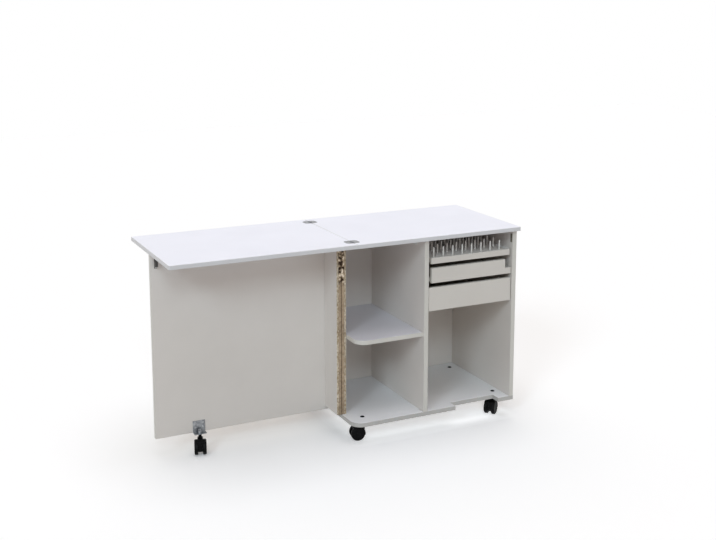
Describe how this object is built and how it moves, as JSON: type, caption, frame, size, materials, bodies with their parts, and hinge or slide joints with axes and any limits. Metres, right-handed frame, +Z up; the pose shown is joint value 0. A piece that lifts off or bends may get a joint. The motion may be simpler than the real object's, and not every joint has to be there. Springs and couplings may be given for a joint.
{
  "type": "folding sewing cutting table",
  "caption": "Wheeled sewing cabinet with a fold-out cutting leaf, a wrap-round door on a caster, a shelf, a spool tray, a shallow tray and a drawer.",
  "frame": {"origin": "on the floor, below the seam between the fixed top and the leaf, half way along the depth of the tops", "axes": "+X to the cabinet's right, away from the leaf; +Y to the back; +Z up"},
  "size_m": [1.4, 0.49, 0.7785],
  "materials": {
    "worktop_laminate": "satin white melamine on chipboard",
    "board_melamine": "satin off-white melamine on chipboard",
    "front_melamine": "satin off-white melamine on chipboard",
    "hinge_bronze": "bronzed",
    "hinge_steel": "dark nickel",
    "runner_enamel": "white enamel",
    "pin_white": "satin",
    "caster_black": "satin moulded",
    "wheel_black": "moulded",
    "cap_black": "moulded",
    "catch_grey": "moulded",
    "bracket_zinc": "zinc plated",
    "screw_zinc": "zinc plated",
    "steel_zinc": "zinc plated"
  },
  "bodies": {
    "cabinet": {"back_panel": "board_melamine", "bottom_board": "board_melamine", "cabinet_runners": "runner_enamel", "carcass_screws": "screw_zinc", "caster_bolt_caps": "cap_black", "caster_plates": "steel_zinc", "caster_screws": "screw_zinc", "divider_panel": "board_melamine", "fixed_hinge_plates": "hinge_steel", "fixed_hinge_screws": "screw_zinc", "fixed_top": "worktop_laminate", "leaf_hinge_pins": "steel_zinc", "left_side_panel": "board_melamine", "piano_hinge_cabinet_leaf": "hinge_bronze", "piano_hinge_cabinet_screws": "screw_zinc", "piano_hinge_pin": "steel_zinc", "right_side_panel": "board_melamine", "shelf": "board_melamine", "shelf_pins": "steel_zinc", "strike_plate": "steel_zinc", "top_bracket_screws": "screw_zinc", "top_brackets": "steel_zinc"},
    "leaf": {"folding_leaf": "worktop_laminate", "leaf_hinge_plates": "hinge_steel", "leaf_hinge_screws": "screw_zinc"},
    "door": {"door_panel": "board_melamine", "return_strip": "board_melamine", "piano_hinge_door_leaf": "hinge_bronze", "piano_hinge_door_screws": "screw_zinc", "strip_screws": "screw_zinc", "catch_housing": "catch_grey", "catch_screws": "screw_zinc", "caster_bracket": "bracket_zinc", "bracket_screws": "screw_zinc", "door_caster_stem": "steel_zinc"},
    "spool_tray": {"spool_tray_board": "board_melamine", "spool_tray_front": "front_melamine", "spool_pins": "pin_white", "spool_tray_runners": "runner_enamel"},
    "shallow_tray": {"shallow_tray_front": "front_melamine", "shallow_tray_sides": "board_melamine", "shallow_tray_back": "board_melamine", "shallow_tray_bottom": "board_melamine", "shallow_tray_runners": "runner_enamel"},
    "drawer": {"drawer_front": "front_melamine", "drawer_sides": "board_melamine", "drawer_back": "board_melamine", "drawer_bottom": "board_melamine", "drawer_runners": "runner_enamel"},
    "caster_front_left_fork": {"caster_front_left_hood": "caster_black"},
    "caster_front_left_wheel_pair": {"caster_front_left_wheels": "wheel_black"},
    "caster_front_right_fork": {"caster_front_right_hood": "caster_black"},
    "caster_front_right_wheel_pair": {"caster_front_right_wheels": "wheel_black"},
    "caster_rear_left_fork": {"caster_rear_left_hood": "caster_black"},
    "caster_rear_left_wheel_pair": {"caster_rear_left_wheels": "wheel_black"},
    "caster_rear_right_fork": {"caster_rear_right_hood": "caster_black"},
    "caster_rear_right_wheel_pair": {"caster_rear_right_wheels": "wheel_black"},
    "caster_door_fork": {"caster_door_hood": "caster_black"},
    "caster_door_wheel_pair": {"caster_door_wheels": "wheel_black"}
  },
  "joints": [
    {"name": "leaf_fold", "type": "hinge", "parent": "cabinet", "child": "leaf", "pos_m": [0, 0, 0.7763], "axis": [0, 1, 0], "range_deg": [0, 180]},
    {"name": "door_swing", "type": "hinge", "parent": "cabinet", "child": "door", "pos_m": [-0.0056, -0.1144, 0.4], "axis": [0, 0, 1], "range_deg": [0, 180]},
    {"name": "spool_tray_slide", "type": "slide", "parent": "cabinet", "child": "spool_tray", "axis": [0, 1, 0], "range_m": [-0.3, 0]},
    {"name": "shallow_tray_slide", "type": "slide", "parent": "cabinet", "child": "shallow_tray", "axis": [0, 1, 0], "range_m": [-0.3, 0]},
    {"name": "drawer_slide", "type": "slide", "parent": "cabinet", "child": "drawer", "axis": [0, 1, 0], "range_m": [-0.3, 0]},
    {"name": "caster_front_left_swivel", "type": "hinge", "parent": "cabinet", "child": "caster_front_left_fork", "pos_m": [0.057, -0.163, 0.05], "axis": [0, 0, 1], "continuous": true},
    {"name": "caster_front_left_roll", "type": "hinge", "parent": "caster_front_left_fork", "child": "caster_front_left_wheel_pair", "pos_m": [0.03744, -0.15884, 0.027], "axis": [-0.2079, -0.9781, 0], "continuous": true},
    {"name": "caster_front_right_swivel", "type": "hinge", "parent": "cabinet", "child": "caster_front_right_fork", "pos_m": [0.6475, -0.147, 0.05], "axis": [0, 0, 1], "continuous": true},
    {"name": "caster_front_right_roll", "type": "hinge", "parent": "caster_front_right_fork", "child": "caster_front_right_wheel_pair", "pos_m": [0.63218, -0.15986, 0.027], "axis": [0.6428, -0.766, 0], "continuous": true},
    {"name": "caster_rear_left_swivel", "type": "hinge", "parent": "cabinet", "child": "caster_rear_left_fork", "pos_m": [0.057, 0.172, 0.05], "axis": [0, 0, 1], "continuous": true},
    {"name": "caster_rear_left_roll", "type": "hinge", "parent": "caster_rear_left_fork", "child": "caster_rear_left_wheel_pair", "pos_m": [0.05353, 0.1917, 0.027], "axis": [-0.9848, -0.1736, 0], "continuous": true},
    {"name": "caster_rear_right_swivel", "type": "hinge", "parent": "cabinet", "child": "caster_rear_right_fork", "pos_m": [0.636, 0.172, 0.05], "axis": [0, 0, 1], "continuous": true},
    {"name": "caster_rear_right_roll", "type": "hinge", "parent": "caster_rear_right_fork", "child": "caster_rear_right_wheel_pair", "pos_m": [0.62211, 0.15761, 0.027], "axis": [0.7193, -0.6947, 0], "continuous": true},
    {"name": "caster_door_swivel", "type": "hinge", "parent": "door", "child": "caster_door_fork", "pos_m": [-0.5342, -0.0143, 0.05], "axis": [0, 0, 1], "continuous": true},
    {"name": "caster_door_roll", "type": "hinge", "parent": "caster_door_fork", "child": "caster_door_wheel_pair", "pos_m": [-0.53971, -0.03352, 0.027], "axis": [0.9613, -0.2756, 0], "continuous": true}
  ]
}
